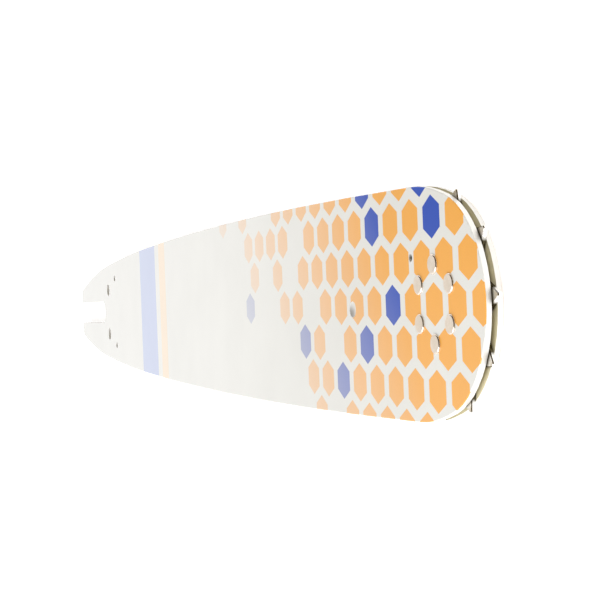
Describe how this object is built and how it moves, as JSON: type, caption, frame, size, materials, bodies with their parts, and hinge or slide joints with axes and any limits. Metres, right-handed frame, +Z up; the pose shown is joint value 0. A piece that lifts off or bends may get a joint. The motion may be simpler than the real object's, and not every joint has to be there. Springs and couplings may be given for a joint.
{
  "type": "chainsaw guide bar",
  "caption": "Flat laminated steel chainsaw guide bar with a toothed sprocket nose, a chain groove round its edge and an open stud slot at the tail.",
  "frame": {"origin": "under the middle of the bar's bounding box, on the surface that the bar lies on", "axes": "+X along the bar towards the nose, +Y across the bar, +Z up through its thickness"},
  "size_m": [0.5386, 0.0672, 0.0057],
  "materials": {
    "printed_plate": "ground sheet steel under a pale satin lacquer with a printed colour design",
    "core_steel": "plain rolled sheet steel",
    "sprocket_steel": "hardened bright steel, stamped",
    "race_steel": "hardened steel, ground",
    "rivet_steel": "bright steel, pressed flat heads",
    "roller_steel": "polished bearing steel"
  },
  "bodies": {
    "bar": {"side_plate_top": "printed_plate", "side_plate_bottom": "printed_plate", "core_plate": "core_steel", "bearing_race": "race_steel", "nose_rivet_1": "rivet_steel", "nose_rivet_2": "rivet_steel", "nose_rivet_3": "rivet_steel", "nose_rivet_4": "rivet_steel", "nose_rivet_5": "rivet_steel", "nose_rivet_6": "rivet_steel"},
    "sprocket": {"nose_sprocket": "sprocket_steel"},
    "roller_ring": {"bearing_roller_01": "roller_steel", "bearing_roller_02": "roller_steel", "bearing_roller_03": "roller_steel", "bearing_roller_04": "roller_steel", "bearing_roller_05": "roller_steel", "bearing_roller_06": "roller_steel", "bearing_roller_07": "roller_steel", "bearing_roller_08": "roller_steel", "bearing_roller_09": "roller_steel", "bearing_roller_10": "roller_steel", "bearing_roller_11": "roller_steel", "bearing_roller_12": "roller_steel", "bearing_roller_13": "roller_steel", "bearing_roller_14": "roller_steel", "bearing_roller_15": "roller_steel", "bearing_roller_16": "roller_steel", "bearing_roller_17": "roller_steel", "bearing_roller_18": "roller_steel", "bearing_roller_19": "roller_steel", "bearing_roller_20": "roller_steel", "bearing_roller_21": "roller_steel", "bearing_roller_22": "roller_steel", "bearing_roller_23": "roller_steel", "bearing_roller_24": "roller_steel", "bearing_roller_25": "roller_steel", "bearing_roller_26": "roller_steel", "bearing_roller_27": "roller_steel", "bearing_roller_28": "roller_steel", "bearing_roller_29": "roller_steel", "bearing_roller_30": "roller_steel"}
  },
  "joints": [
    {"name": "sprocket_spin", "type": "hinge", "parent": "bar", "child": "sprocket", "pos_m": [0.23867, 0, 0.00287], "axis": [0, 0, 1], "continuous": true},
    {"name": "roller_orbit", "type": "hinge", "parent": "bar", "child": "roller_ring", "pos_m": [0.23867, 0, 0.00287], "axis": [0, 0, 1], "continuous": true}
  ],
  "couplings": [
    {"joint": "roller_orbit", "follows": "sprocket_spin", "ratio": 0.55038}
  ]
}
